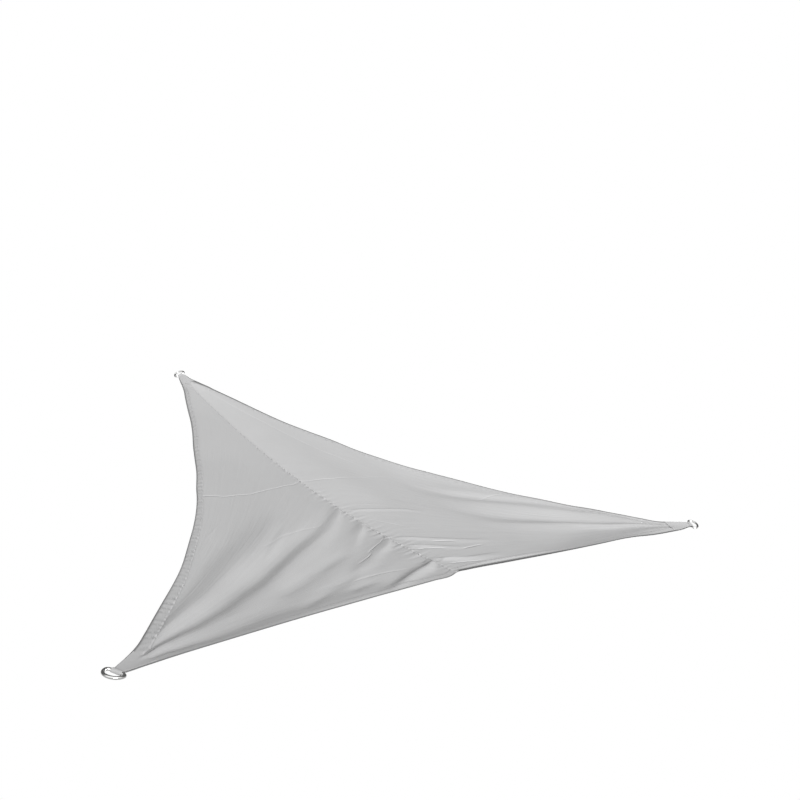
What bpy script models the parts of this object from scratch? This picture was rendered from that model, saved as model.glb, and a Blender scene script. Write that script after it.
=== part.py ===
"""A triangular shade sail, hanging from the steel rings at its three corners.

The sail is cut as two cloth panels that meet at a centre seam, from the high corner down to
the middle of the low edge. A strip of the same cloth is folded round the bar of each D-ring
and sewn over and under the corner as its reinforcement patch. Every edge is cut hollow, and
the whole sail sags under its own weight, with slack folds that fan out of the near and far
corners and gather against the seam.

Metres, +Z up. The origin is the bearing point inside the high corner's ring. +X runs level
from the near corner towards the far corner, and the high corner lies on the +Y side.
"""
import math

import bpy
import numpy as np

# ---------------------------------------------------------------- driving dimensions
SIDE = 3.000            # ring bar to ring bar, the same on all three sides
HIGH_RISE = 1.168       # high corner above the near corner
FAR_RISE = 0.299        # far corner above the near corner

CLOTH_THICKNESS = 0.002
END_WIDTH = 0.034       # width of the cloth where it ends at a ring
END_SETBACK = 0.014     # from the ring bar's centre back to that end
SEAM_GAP = 0.0003       # between the two panels, along the seam
SEAM_HEAD = 0.985       # share of a panel's seam side taken by the seam, the rest is its end

PATCH_LENGTH = 0.110    # how far a corner patch runs back along each hem
PATCH_THICKNESS = 0.0015
PATCH_INSET = 0.05      # share of the corner's width left bare at each hem
PATCH_GAP = 0.0007      # patch to panel
BAR_GAP = 0.0004        # patch to ring bar

WIRE_RADIUS = 0.0045    # ring wire, 9 mm round
RING_HALF_WIDTH = 0.0285  # wire centre to wire centre across the bow is twice this
RING_CORNER = 0.009     # bend radius between the bar and the bow
RING_BOW = 0.027        # depth of the bow beyond those bends

# How far each corner's end is turned about its own pull, in degrees
END_TWIST = {"near": 0.0, "far": -14.0, "high": 28.0}
TWIST_LENGTH = 0.500    # the twist dies away over this length of cloth

# Edges, each from its start corner to its end corner, as shares of SIDE
EDGE_COLUMNS = ("start", "end", "opposite", "hollow", "lean", "sag", "seam_pull")
EDGES = {
    "left": ("near", "high", "far", 0.0511, -0.072, 0.0447, 0.0),
    "top": ("far", "high", "near", 0.0511, -0.035, 0.0296, 0.0),
    "low": ("near", "far", "high", 0.0511, 0.0, 0.0335, 0.0307),
}
SEAM_SAG = 0.0346       # sag of the centre seam, as a share of SIDE
SEAM_LEAN = -0.11       # below zero the lowest place lies nearer the seam's foot

# Folds fan out of a panel's ring corner. A fold's place is a share of the way from the low
# edge (0) to the outer hem (1), at the corner and at the seam. It drifts from the one to the
# other over its reach. It starts, rises to its height, ends and falls away over the last four,
# all shares of the way to the seam.
FOLD_COLUMNS = ("height", "at_corner", "at_seam", "reach", "half_width", "start", "rise",
                "end", "fall")
NEAR_FOLDS = {
    "belly": (0.036, 0.440, 0.440, 1.00, 0.300, 0.22, 0.55, 1.000, 0.15),
    "long trough": (-0.013, 0.718, 0.345, 0.19, 0.055, 0.05, 0.08, 0.960, 0.35),
    "main crest": (0.017, 0.767, 0.400, 0.45, 0.065, 0.06, 0.20, 0.760, 0.28),
    "upper trough": (-0.011, 0.900, 0.300, 1.00, 0.075, 0.10, 0.25, 0.700, 0.25),
    "low crest": (0.011, 0.550, 0.305, 0.08, 0.045, 0.03, 0.08, 1.000, 0.06),
    "low trough": (-0.009, 0.360, 0.085, 0.16, 0.055, 0.04, 0.08, 0.850, 0.25),
    "middle groove": (-0.007, 0.230, 0.213, 1.00, 0.028, 0.43, 0.10, 0.820, 0.12),
    "seam ridge mid": (0.011, -0.085, 0.446, 1.00, 0.024, 0.84, 0.10, 0.995, 0.05),
    "seam ridge low": (0.010, -0.055, 0.302, 1.00, 0.026, 0.70, 0.10, 0.995, 0.05),
    "foot trough": (-0.007, -0.248, 0.131, 0.50, 0.030, 0.66, 0.12, 1.000, 0.06),
    "foot ridge": (0.014, -0.613, 0.098, 0.35, 0.024, 0.74, 0.12, 1.000, 0.05),
}
FAR_FOLDS = {
    "belly": (0.038, 0.390, 0.390, 1.00, 0.340, 0.38, 0.40, 1.000, 0.13),
    "ring crest": (0.006, 0.360, 0.070, 0.10, 0.090, 0.04, 0.06, 0.320, 0.18),
    "broad trough": (-0.010, 0.500, 0.020, 0.40, 0.085, 0.08, 0.20, 0.660, 0.24),
    "low crest": (0.009, 0.580, 0.250, 0.45, 0.045, 0.05, 0.22, 0.660, 0.26),
    "fan trough": (-0.009, 0.620, 0.360, 0.50, 0.055, 0.09, 0.18, 0.660, 0.26),
    "fan ridge": (0.009, 0.900, 0.450, 0.50, 0.055, 0.12, 0.14, 0.680, 0.22),
    "hem trough": (-0.004, 1.084, 0.098, 1.00, 0.050, 0.10, 0.08, 0.660, 0.14),
    "hem ridge": (0.004, 1.195, 0.096, 1.00, 0.040, 0.26, 0.12, 0.550, 0.10),
    "seam streak high": (0.004, -0.063, 0.318, 1.00, 0.022, 0.70, 0.12, 0.995, 0.05),
    "seam streak low": (0.007, -0.136, 0.183, 1.00, 0.022, 0.62, 0.12, 0.995, 0.05),
}
HEM_EASE = 0.025        # folds run out into the low edge over this share, twice it at the hem
FLAT_CORNER = 0.160     # the cloth lies flat this far from a ring, under the patch
FLAT_EASE = 0.080       # and its folds rise over this length beyond

# Mesh steps
ACROSS_STEPS = 36        # even steps from the low edge, then closer ones at the high corner
HEAD_COLUMNS = (0.955, 0.966, 0.976, SEAM_HEAD, 1.0)
ALONG_ROWS = (0, 0.02, 0.04, 0.06, 0.08, 0.11, 0.15, 0.20, 0.27, 0.35, 0.43, 0.51, 0.59,
              0.67, 0.75, 0.82, 0.88, 0.93, 0.958, 0.972, 0.986, 1.0)
PATCH_ACROSS = 8
PATCH_ALONG = 5
NECK_STEPS = 3
WRAP_STEPS = 8
WIRE_SIDES = 10
BOW_SEGMENTS = 21       # odd, so that one flat segment is centred on the crown
BEND_SEGMENTS = 4

SLOPE_STEP = 0.004      # share of the way over which slopes and directions are measured
DOWN = np.array([0.0, 0.0, -1.0])


def unit(vectors):
    """The vector at length one, or each vector of an array."""
    return vectors / np.linalg.norm(vectors, axis=-1, keepdims=True)


def smooth(value):
    """0 below zero, 1 above one, and an even S-shaped rise between."""
    value = np.clip(value, 0.0, 1.0)
    return value * value * (3.0 - 2.0 * value)


def named(columns, row):
    """One table row as a dictionary of its columns."""
    return dict(zip(columns, row))


# ---------------------------------------------------------------- corners
def corner_places():
    """The three ring bars: an equal-sided triangle tilted to the two rises."""
    far_x = math.sqrt(SIDE ** 2 - FAR_RISE ** 2)
    high_x = (SIDE ** 2 / 2 - HIGH_RISE * FAR_RISE) / far_x
    high_y = math.sqrt(SIDE ** 2 - HIGH_RISE ** 2 - high_x ** 2)
    return {
        "near": np.zeros(3),
        "far": np.array([far_x, 0.0, FAR_RISE]),
        "high": np.array([high_x, high_y, HIGH_RISE]),
    }


def corner_frames(places):
    """At each corner: its place, the way the cloth pulls on the ring, across, and up."""
    sides = {
        "near": ("far", "low", "high", "left"),
        "far": ("high", "top", "near", "low"),
        "high": ("near", "left", "far", "top"),
    }
    frames = {}
    for name, (first, first_edge, second, second_edge) in sides.items():
        legs = []
        for other, edge in ((first, first_edge), (second, second_edge)):
            sag = named(EDGE_COLUMNS, EDGES[edge])["sag"]
            legs.append(unit(places[other] - places[name]) + DOWN * 4 * sag)
        out = -unit(unit(legs[0]) + unit(legs[1]))
        spread = legs[1] - legs[0]
        across = unit(spread - out * (spread @ out))
        up = np.cross(out, across)
        if up[2] < 0:
            up = -up
        frames[name] = {"place": places[name], "out": out, "across": across, "up": up}
    return frames


PLACES = corner_places()
FRAMES = corner_frames(PLACES)


def cloth_end(corner, side):
    """A point on the cloth's blunt end at a ring: side -1 and 1 are its two hems."""
    frame = FRAMES[corner]
    return frame["place"] - frame["out"] * END_SETBACK + frame["across"] * side * END_WIDTH / 2


def twisted(points):
    """Points turned about each corner's pull, in full at its ring and less away from it."""
    for name, frame in FRAMES.items():
        arm = points - frame["place"]
        share = 1 - smooth(-(arm @ frame["out"]) / TWIST_LENGTH)
        angle = (math.radians(END_TWIST[name]) * share)[..., None]
        across = (arm @ frame["across"])[..., None]
        up = (arm @ frame["up"])[..., None]
        turned_across = across * np.cos(angle) - up * np.sin(angle)
        turned_up = up * np.cos(angle) + across * np.sin(angle)
        points = (points + (turned_across - across) * frame["across"]
                  + (turned_up - up) * frame["up"])
    return points


# ---------------------------------------------------------------- edges and seam
# Which side of each corner's blunt end an edge starts or ends on
END_SIDES = {"left": (1, -1), "top": (-1, 1), "low": (-1, 1)}


def edge_curve(name, t):
    """An edge at shares t: the chord, bowed inwards by the cut and downwards by the sag."""
    row = named(EDGE_COLUMNS, EDGES[name])
    start = cloth_end(row["start"], END_SIDES[name][0])
    end = cloth_end(row["end"], END_SIDES[name][1])
    chord = end - start
    inward = PLACES[row["opposite"]] - (start + end) / 2
    inward = unit(inward - chord * (inward @ chord) / (chord @ chord))
    t = np.asarray(t, float)[..., None]
    bow = 4 * t * (1 - t)
    hollow = row["hollow"] * bow * (1 + row["lean"] * (2 * t - 1))
    pull = row["seam_pull"] * (1 - np.abs(2 * t - 1))
    return start + chord * t + inward * (hollow + pull) * SIDE + DOWN * row["sag"] * bow * SIDE


SEAM_FOOT = edge_curve("low", 0.5)
SEAM_TOP = cloth_end("high", 0)


def seam_curve(t):
    """The centre seam at shares t, from its foot on the low edge to the high corner."""
    t = np.asarray(t, float)[..., None]
    sag = SEAM_SAG * 4 * t * (1 - t) * (1 + SEAM_LEAN * (2 * t - 1))
    return SEAM_FOOT + (SEAM_TOP - SEAM_FOOT) * t + DOWN * sag * SIDE


# ---------------------------------------------------------------- panels
PANELS = {
    "near": {"corner": "near", "low_side": -1, "outer": "left", "outer_side": 1,
             "head_side": -1, "folds": NEAR_FOLDS},
    "far": {"corner": "far", "low_side": 1, "outer": "top", "outer_side": -1,
            "head_side": 1, "folds": FAR_FOLDS},
}


def hem_distance(u, share):
    """Metres along the cloth for a share of a panel's length: half a side low, a side high."""
    return share * SIDE / 2 * (1 + u)


def fold_height(folds, u, v):
    """The sum of the folds: each a soft bump across u that follows its drifting place."""
    height = np.zeros_like(u)
    for row in folds.values():
        fold = named(FOLD_COLUMNS, row)
        drift = np.exp(-v / fold["reach"])
        place = fold["at_seam"] + (fold["at_corner"] - fold["at_seam"]) * drift
        life = (smooth((v - fold["start"]) / fold["rise"])
                * smooth((fold["end"] - v) / fold["fall"]))
        height += fold["height"] * life * np.exp(-((u - place) / fold["half_width"]) ** 2)
    hem_ease = smooth(u / HEM_EASE) * smooth((1 - u) / (2 * HEM_EASE))
    return height * hem_ease * smooth((hem_distance(u, v) - FLAT_CORNER) / FLAT_EASE)


def smooth_panel(name, u, v):
    """A panel without its folds: the surface spanned by its four sides.

    u runs from the low edge (0) to the outer hem (1), v from the ring (0) to the seam (1).
    """
    panel = PANELS[name]
    low_share = v / 2 if name == "near" else 1 - v / 2
    low = edge_curve("low", low_share)
    outer = edge_curve(panel["outer"], v)
    ring_low = cloth_end(panel["corner"], panel["low_side"])
    ring_outer = cloth_end(panel["corner"], panel["outer_side"])
    head = cloth_end("high", panel["head_side"])
    across_head = np.clip((u - SEAM_HEAD) / (1 - SEAM_HEAD), 0, 1)[..., None]
    seam = seam_curve(np.clip(u / SEAM_HEAD, 0, 1)) + (head - SEAM_TOP) * across_head
    u, v = u[..., None], v[..., None]
    ring = ring_low + (ring_outer - ring_low) * u
    sides = (1 - u) * low + u * outer + (1 - v) * ring + v * seam
    corners = ((1 - u) * (1 - v) * ring_low + (1 - u) * v * SEAM_FOOT
               + u * (1 - v) * ring_outer + u * v * head)
    return twisted(sides - corners)


def upward_normals(name, u, v):
    """Upward unit normals of the smooth panel, from its slopes across and along."""
    u0, u1 = np.clip(u - SLOPE_STEP, 0, 1), np.clip(u + SLOPE_STEP, 0, 1)
    v0, v1 = np.clip(v - SLOPE_STEP, 0, 1), np.clip(v + SLOPE_STEP, 0, 1)
    along_u = smooth_panel(name, u1, v) - smooth_panel(name, u0, v)
    along_v = smooth_panel(name, u, v1) - smooth_panel(name, u, v0)
    normal = unit(np.cross(along_u, along_v))
    return np.where(normal[..., 2:] < 0, -normal, normal)


def panel_points(name, u, v):
    """The folded panel and the directions in which its thickness is laid."""
    normal = upward_normals(name, u, v)
    height = fold_height(PANELS[name]["folds"], u, v)[..., None]
    return smooth_panel(name, u, v) + normal * height, normal


# ---------------------------------------------------------------- meshes
def new_object(name, points, triangles, material, smooth_angle=None):
    """A mesh object whose faces are turned to point outwards."""
    corners = points[triangles]
    volume = np.einsum("ij,ij->i", corners[:, 0], np.cross(corners[:, 1], corners[:, 2])).sum()
    if volume < 0:
        triangles = triangles[:, ::-1]
    mesh = bpy.data.meshes.new(name)
    mesh.from_pydata(points.tolist(), [], triangles.tolist())
    mesh.materials.append(material)
    if smooth_angle is not None:
        mesh.shade_smooth()
        mesh.set_sharp_from_angle(angle=math.radians(smooth_angle))
    thing = bpy.data.objects.new(name, mesh)
    bpy.context.collection.objects.link(thing)
    return thing


def grid_triangles(index):
    """Two triangles for each cell of a grid of point numbers."""
    a, b, c, d = index[:-1, :-1], index[1:, :-1], index[1:, 1:], index[:-1, 1:]
    cells = np.stack([np.stack([a, b, c], -1), np.stack([a, c, d], -1)])
    return cells.reshape(-1, 3)


def slab(name, lower, upper, material):
    """A closed sheet between two grids of points, with walls round its four sides."""
    across, along = lower.shape[:2]
    low = np.arange(across * along).reshape(across, along)
    high = low + low.size
    rim_low = np.concatenate([low[:, 0], low[-1, 1:], low[-2::-1, -1], low[0, -2::-1]])
    wall = np.stack([rim_low, rim_low + low.size], 1)
    faces = [grid_triangles(high), grid_triangles(low)[:, ::-1], grid_triangles(wall)]
    points = np.concatenate([lower.reshape(-1, 3), upper.reshape(-1, 3)]) - ORIGIN
    return new_object(name, points, np.concatenate(faces), material, smooth_angle=50)


def build_panels(material):
    """Both panels, sharing their directions of thickness along the seam."""
    columns = np.append(np.linspace(0, HEAD_COLUMNS[0], ACROSS_STEPS)[:-1], HEAD_COLUMNS)
    u, v = np.meshgrid(columns, np.array(ALONG_ROWS, float), indexing="ij")
    points, normals = {}, {}
    for name in PANELS:
        points[name], normals[name] = panel_points(name, u, v)
    shared = unit(normals["near"][:, -1] + normals["far"][:, -1])
    t = np.clip(columns / SEAM_HEAD, 0, 1)
    upwards = twisted(seam_curve(t + SLOPE_STEP)) - twisted(seam_curve(t - SLOPE_STEP))
    aside = unit(np.cross(shared, upwards))
    for name, side in (("near", 1), ("far", -1)):
        normals[name][:, -1] = shared
        points[name][:, -1] += side * aside * SEAM_GAP / 2
        half = normals[name] * CLOTH_THICKNESS / 2
        slab("panel_" + name, points[name] - half, points[name] + half, material)


# ---------------------------------------------------------------- corner patches
def patch_surface(corner, across, back):
    """Panel points and normals under a patch: across 0 to 1, back 0 at the ring to 1."""
    if corner in PANELS:
        return panel_points(corner, across, back * PATCH_LENGTH / hem_distance(across, 1))
    seam_length = np.linalg.norm(SEAM_TOP - SEAM_FOOT)
    points = np.zeros(across.shape + (3,))
    normals = np.zeros_like(points)
    for name, first in (("near", True), ("far", False)):
        mine = across <= 0.5 if first else across >= 0.5
        to_seam = 2 * across[mine] if first else 2 * (1 - across[mine])
        seam_u = SEAM_HEAD * (1 - back[mine] * PATCH_LENGTH / seam_length)
        u = 1 - to_seam * (1 - seam_u)
        v = 1 - (1 - to_seam) * back[mine] * PATCH_LENGTH / SIDE
        points[mine], own = panel_points(name, u, v)
        normals[mine] += own
    return points, unit(normals)


def build_patch(corner, material):
    """A strip that runs over the corner, round the ring's bar and back under the corner."""
    frame = FRAMES[corner]
    across = np.linspace(PATCH_INSET, 1 - PATCH_INSET, PATCH_ACROSS + 1)
    back = np.linspace(1, 0, PATCH_ALONG + 1)
    grid_across, grid_back = np.meshgrid(across, back, indexing="ij")
    leg, leg_up = patch_surface(corner, grid_across, grid_back)
    leg_space = CLOTH_THICKNESS / 2 + PATCH_GAP
    bar_space = WIRE_RADIUS + BAR_GAP

    sideways = (across[:, None, None] - 0.5) * END_WIDTH * frame["across"]
    forward = END_SETBACK * (1 - np.arange(1, NECK_STEPS) / NECK_STEPS)
    neck = frame["place"] + sideways - forward[None, :, None] * frame["out"]
    neck_up = np.broadcast_to(frame["up"], neck.shape)
    neck_space = bar_space + (leg_space - bar_space) * smooth(forward / END_SETBACK)

    turn = np.linspace(math.pi / 2, -math.pi / 2, WRAP_STEPS + 1)[None, :, None]
    wrap_out = np.cos(turn) * frame["out"] + np.sin(turn) * frame["up"]
    wrap_out = np.broadcast_to(wrap_out, (len(across), WRAP_STEPS + 1, 3))
    wrap = np.broadcast_to(frame["place"] + sideways, wrap_out.shape)
    wrap_space = np.full(WRAP_STEPS + 1, bar_space)

    loop = np.concatenate([neck, wrap, neck[:, ::-1]], 1)
    loop_away = np.concatenate([neck_up, wrap_out, -neck_up[:, ::-1]], 1)
    loop_space = np.concatenate([neck_space, wrap_space, neck_space[::-1]])[None, :, None]
    skins = []
    for thickness in (0, PATCH_THICKNESS):
        leg_lift = leg_up * (leg_space + thickness)
        around = twisted(loop + loop_away * (loop_space + thickness))
        skins.append(np.concatenate([leg + leg_lift, around, (leg - leg_lift)[:, ::-1]], 1))
    slab("patch_" + corner, skins[0], skins[1], material)


# ---------------------------------------------------------------- D-rings
def ring_path():
    """The wire's centre line as (outwards, across) pairs with its outer normals."""
    straight = RING_HALF_WIDTH - RING_CORNER
    bend = np.linspace(0, math.pi / 2, BEND_SEGMENTS + 1)
    bow = np.linspace(math.pi / 2, -math.pi / 2, BOW_SEGMENTS + 1)[1:-1]
    bend_points = np.stack([RING_CORNER * (1 - np.cos(bend)),
                            straight + RING_CORNER * np.sin(bend)], 1)
    bend_normals = np.stack([-np.cos(bend), np.sin(bend)], 1)
    bow_points = np.stack([RING_CORNER + RING_BOW * np.cos(bow),
                           RING_HALF_WIDTH * np.sin(bow)], 1)
    bow_normals = unit(np.stack([np.cos(bow) / RING_BOW, np.sin(bow) / RING_HALF_WIDTH], 1))
    mirror = np.array([1, -1])
    points = np.concatenate([bend_points, bow_points, bend_points[::-1] * mirror])
    normals = np.concatenate([bend_normals, bow_normals, bend_normals[::-1] * mirror])
    return points, normals


def ring_points(corner):
    """The ring's skin: a many-sided section of wire at each step of its path."""
    frame = FRAMES[corner]
    points, normals = ring_path()
    plane = np.stack([frame["out"], frame["across"]])
    centre = frame["place"] + points @ plane
    outward = normals @ plane
    angle = (np.arange(WIRE_SIDES) + 0.5) * 2 * math.pi / WIRE_SIDES
    section = (outward[:, None] * np.cos(angle)[None, :, None]
               + frame["up"] * np.sin(angle)[None, :, None])
    return twisted(centre[:, None] + section * WIRE_RADIUS)


def bearing_point(corner):
    """The middle of the flat facet inside the crown of a ring's bow."""
    skin = ring_points(corner)
    before_crown = BEND_SEGMENTS + (BOW_SEGMENTS - 1) // 2
    inner = WIRE_SIDES // 2 - 1
    return skin[before_crown:before_crown + 2, inner:inner + 2].reshape(-1, 3).mean(0)


def build_ring(corner, material):
    """One D-ring, its bar inside the fold of the corner patch."""
    skin = ring_points(corner)
    index = np.arange(skin.shape[0] * WIRE_SIDES).reshape(-1, WIRE_SIDES)
    closed = np.pad(index, ((0, 1), (0, 1)), mode="wrap")
    new_object("ring_" + corner, skin.reshape(-1, 3) - ORIGIN, grid_triangles(closed),
               material, smooth_angle=40)


ORIGIN = bearing_point("high")


# ---------------------------------------------------------------- materials
def make_material(name, colour, roughness, metallic):
    """A plain Principled material."""
    material = bpy.data.materials.new(name)
    material.use_nodes = True
    shader = material.node_tree.nodes["Principled BSDF"]
    shader.inputs["Base Color"].default_value = (*colour, 1.0)
    shader.inputs["Roughness"].default_value = roughness
    shader.inputs["Metallic"].default_value = metallic
    return material


for leftover in list(bpy.data.objects):
    bpy.data.objects.remove(leftover, do_unlink=True)

cloth = make_material("grey polyester cloth", (0.50, 0.50, 0.50), 0.75, 0.0)
steel = make_material("polished stainless steel", (0.78, 0.78, 0.77), 0.18, 1.0)

build_panels(cloth)
for corner_name in FRAMES:
    build_patch(corner_name, cloth)
    build_ring(corner_name, steel)
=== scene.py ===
"""Looks for a triangular shade sail that hangs by a steel ring at each of its three corners.

The order follows the making: camera and studio, the sail's cut, the two field panels with
their folds, the hems and the centre seam with their stitches, the corner patches, the D-rings.
Metres, +Z up, in the row frame: the origin is the bearing point in the high corner's ring.
"""
import math

import bpy
import numpy as np
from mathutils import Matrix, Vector


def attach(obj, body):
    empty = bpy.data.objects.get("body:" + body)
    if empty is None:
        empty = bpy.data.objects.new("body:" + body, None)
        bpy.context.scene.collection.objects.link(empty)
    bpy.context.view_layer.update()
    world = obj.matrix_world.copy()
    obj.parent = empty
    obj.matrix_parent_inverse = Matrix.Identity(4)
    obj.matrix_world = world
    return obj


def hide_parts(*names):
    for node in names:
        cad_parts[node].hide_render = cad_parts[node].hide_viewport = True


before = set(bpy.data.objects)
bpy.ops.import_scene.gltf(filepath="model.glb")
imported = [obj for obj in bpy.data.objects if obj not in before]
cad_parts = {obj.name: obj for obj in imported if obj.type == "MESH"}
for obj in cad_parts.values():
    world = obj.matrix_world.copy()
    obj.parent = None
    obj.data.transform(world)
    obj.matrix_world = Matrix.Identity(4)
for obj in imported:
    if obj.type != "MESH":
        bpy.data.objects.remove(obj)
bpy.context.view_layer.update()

# ---------------------------------------------------------------- camera
# The photograph was taken from two metres short of the near corner and a little above it,
# looking along the sail and slightly up. A 36 mm lens on a 36 mm sensor gives its frame.
camera_data = bpy.data.cameras.new("camera")
camera_data.lens = 36.0
camera_data.sensor_width = 36.0
camera_data.clip_start = 0.02
camera_data.clip_end = 300.0
camera = bpy.data.objects.new("camera", camera_data)
bpy.context.collection.objects.link(camera)
CAMERA_TURN = math.radians(43.08)
CAMERA_TILT = math.radians(7.03)
camera.location = (-2.2829, -4.4058, -0.7557)
camera.rotation_euler = (math.pi / 2 + CAMERA_TILT, 0.0, -CAMERA_TURN)
bpy.context.scene.camera = camera

# ---------------------------------------------------------------- studio
# A white cove with a pale floor a little over a metre below the near corner. One broad, soft
# light comes from low behind the camera and to its right, and the surroundings fill the shade.
# Glossy rays see a bright front wall in a dark room instead, which makes the steel gleam.
bpy.context.scene.view_settings.view_transform = "Standard"
WHITE = (1.0, 1.0, 1.0, 1.0)
FLOOR_HEIGHT = -2.35
FLOOR_HALF = 60.0
FILL = 0.47
KEY_TOWARDS = (-0.10, -0.465, 0.09)
KEY_STRENGTH = 3.10
KEY_SPREAD = math.radians(24.0)
# The room brightens to the wall between two cosines of the angle off the wall's middle
WALL_TOWARDS = (-0.50, -0.85, 0.15)
WALL_EDGES = (0.10, 0.60)
WALL_STRENGTH = 1.2
ROOM_SHADE = (0.10, 0.10, 0.10, 1.0)


def node(tree, kind, links=(), **values):
    """A shader node with plain values on its sockets, and (socket, output) pairs linked."""
    made = tree.nodes.new("ShaderNode" + kind)
    for name, value in values.items():
        if name in ("operation", "attribute_name", "bands_direction"):
            setattr(made, name, value)
        else:
            made.inputs[name.replace("_", " ")].default_value = value
    for socket, output in links:
        tree.links.new(output, made.inputs[socket])
    return made


def ramp(tree, factor, *stops):
    """A colour that runs between two stops, each a (position, colour) pair."""
    made = node(tree, "ValToRGB", [("Fac", factor)])
    for element, (position, colour) in zip(made.color_ramp.elements, stops):
        element.position = position
        element.color = colour
    return made.outputs["Color"]


def new_finish(name, **values):
    """A material with its node tree and its shader, which gets plain values on its sockets."""
    material = bpy.data.materials.new(name)
    material.use_nodes = True
    shader = material.node_tree.nodes["Principled BSDF"]
    for socket, value in values.items():
        shader.inputs[socket.replace("_", " ")].default_value = value
    return material, material.node_tree, shader


world = bpy.data.worlds.new("white cove")
bpy.context.scene.world = world
world.use_nodes = True
cove = world.node_tree
cove.nodes.clear()
seen = node(cove, "Background", Color=WHITE, Strength=1.0)
filling = node(cove, "Background", Color=WHITE, Strength=FILL)
towards_wall = node(cove, "VectorMath", [(0, node(cove, "TexCoord").outputs["Generated"])],
                    operation="DOT_PRODUCT")
towards_wall.inputs[1].default_value = WALL_TOWARDS
wall = ramp(cove, towards_wall.outputs["Value"], (WALL_EDGES[0], ROOM_SHADE),
            (WALL_EDGES[1], WHITE))
mirrored = node(cove, "Background", [("Color", wall)], Strength=WALL_STRENGTH)
path = node(cove, "LightPath")
lighting = node(cove, "MixShader", [("Fac", path.outputs["Is Glossy Ray"]),
                                    (1, filling.outputs["Background"]),
                                    (2, mirrored.outputs["Background"])])
either = node(cove, "MixShader", [("Fac", path.outputs["Is Camera Ray"]),
                                  (1, lighting.outputs["Shader"]),
                                  (2, seen.outputs["Background"])])
node(cove, "OutputWorld", [("Surface", either.outputs["Shader"])])

key_data = bpy.data.lights.new("soft key", "SUN")
key_data.energy = KEY_STRENGTH
key_data.angle = KEY_SPREAD
key = bpy.data.objects.new("soft key", key_data)
key.rotation_euler = Vector(KEY_TOWARDS).to_track_quat("Z", "Y").to_euler()
bpy.context.collection.objects.link(key)

floor_mesh = bpy.data.meshes.new("floor")
floor_mesh.from_pydata(
    [(x, y, FLOOR_HEIGHT) for x, y in ((-FLOOR_HALF, -FLOOR_HALF), (FLOOR_HALF, -FLOOR_HALF),
                                       (FLOOR_HALF, FLOOR_HALF), (-FLOOR_HALF, FLOOR_HALF))],
    [], [(0, 1, 2, 3)])
floor = bpy.data.objects.new("floor", floor_mesh)
bpy.context.collection.objects.link(floor)
# The floor lights the sail as pale grey, and the camera sees it burnt out to white
pale, tree, shader = new_finish("pale floor", Base_Color=(0.80, 0.80, 0.80, 1.0), Roughness=1.0,
                                Specular_IOR_Level=0.0)
burnt_out = node(tree, "Emission", Color=WHITE)
either = node(tree, "MixShader", [("Fac", node(tree, "LightPath").outputs["Is Camera Ray"]),
                                  (1, shader.outputs["BSDF"]),
                                  (2, burnt_out.outputs["Emission"])])
tree.links.new(either.outputs["Shader"], tree.nodes["Material Output"].inputs["Surface"])
floor_mesh.materials.append(pale)

# ---------------------------------------------------------------- the sail's cut
# An equal-sided triangle, three metres between the ring bars, hung with its high corner
# 1.17 m and its far corner 0.30 m above the near one. Every side is cut hollow and sags.
SIDE = 3.000
HIGH_RISE = 1.168
FAR_RISE = 0.299
END_WIDTH = 0.034
END_SETBACK = 0.014
END_TWIST = {"near": 0.0, "far": -14.0, "high": 28.0}
TWIST_LENGTH = {"near": 0.500, "far": 0.400, "high": 0.260}
# start and end corner, the corner opposite, then as shares of a side: hollow, lean, sag, pull
EDGES = {
    "left": ("near", "high", "far", 0.0511, -0.072, 0.0447, 0.0),
    "top": ("far", "high", "near", 0.0511, -0.035, 0.0296, 0.0),
    "low": ("near", "far", "high", 0.0511, 0.0, 0.0335, 0.0307),
}
# The edges don't run true: share of the edge, then millimetres inwards and upwards
EDGE_WAVES = {
    "left": [
        (0.000, 0.0, 0), (0.020, 5.0, 0), (0.050, 9.0, 0), (0.080, 5.0, 0), (0.120, 0.0, 0),
        (0.160, -1.5, 0), (0.200, 0.5, 0), (0.250, 4.0, 0), (0.350, 3.0, 0), (0.400, 6.0, 0),
        (0.500, 5.5, 0), (0.530, 2.0, 0), (0.600, 2.0, 0), (0.650, -2.5, 0), (0.700, -4.0, 0),
        (0.750, 1.0, 0), (0.800, 3.5, 0), (0.850, 1.0, 0), (0.900, 2.0, 0), (0.960, 8.0, 0),
        (1.000, 0.0, 0)],
    "top": [
        (0.000, 0, 0), (0.020, 6, -5), (0.050, 12, -13), (0.080, 8, -9), (0.120, 0, -1),
        (0.160, 0, 4), (0.200, 0, 2), (0.250, 0, 4), (0.300, 0, 1), (0.350, 0, 2),
        (0.400, 0, 4), (0.450, 0, 2), (0.500, 0, -2), (0.550, 0, -1), (0.600, 0, 0),
        (0.650, 0, 7), (0.700, 0, 6), (0.750, 0, 4), (0.800, 0, 7), (0.850, 0, 11),
        (0.900, 0, 11), (0.930, 0, 8), (0.960, 4, -2), (0.980, 6, -4), (1.000, 0, 0)],
    "low": [
        (0.000, 0.0, 0), (0.020, 2.0, 0), (0.050, 5.0, 0), (0.120, 6.5, 0), (0.250, 5.0, 0),
        (0.300, 2.0, 0), (0.350, -1.0, 0), (0.400, -5.5, 0), (0.450, -9.5, 0),
        (0.484, -12.0, 0), (0.496, -3.0, 0), (0.500, 0.0, 0), (0.520, 3.0, 0), (0.600, 3.0, 0),
        (0.700, 2.0, 0), (0.800, 5.0, 0), (0.850, 8.0, 0), (0.900, -1.0, 0), (0.960, -2.0, 0),
        (0.980, -4.0, 0), (1.000, 0.0, 0)],
}
# Which side of its corners' middles each edge starts and ends on, as cloth_end takes it
END_SIDES = {"left": (1, -1), "top": (-1, 1), "low": (-1, 1)}
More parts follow.
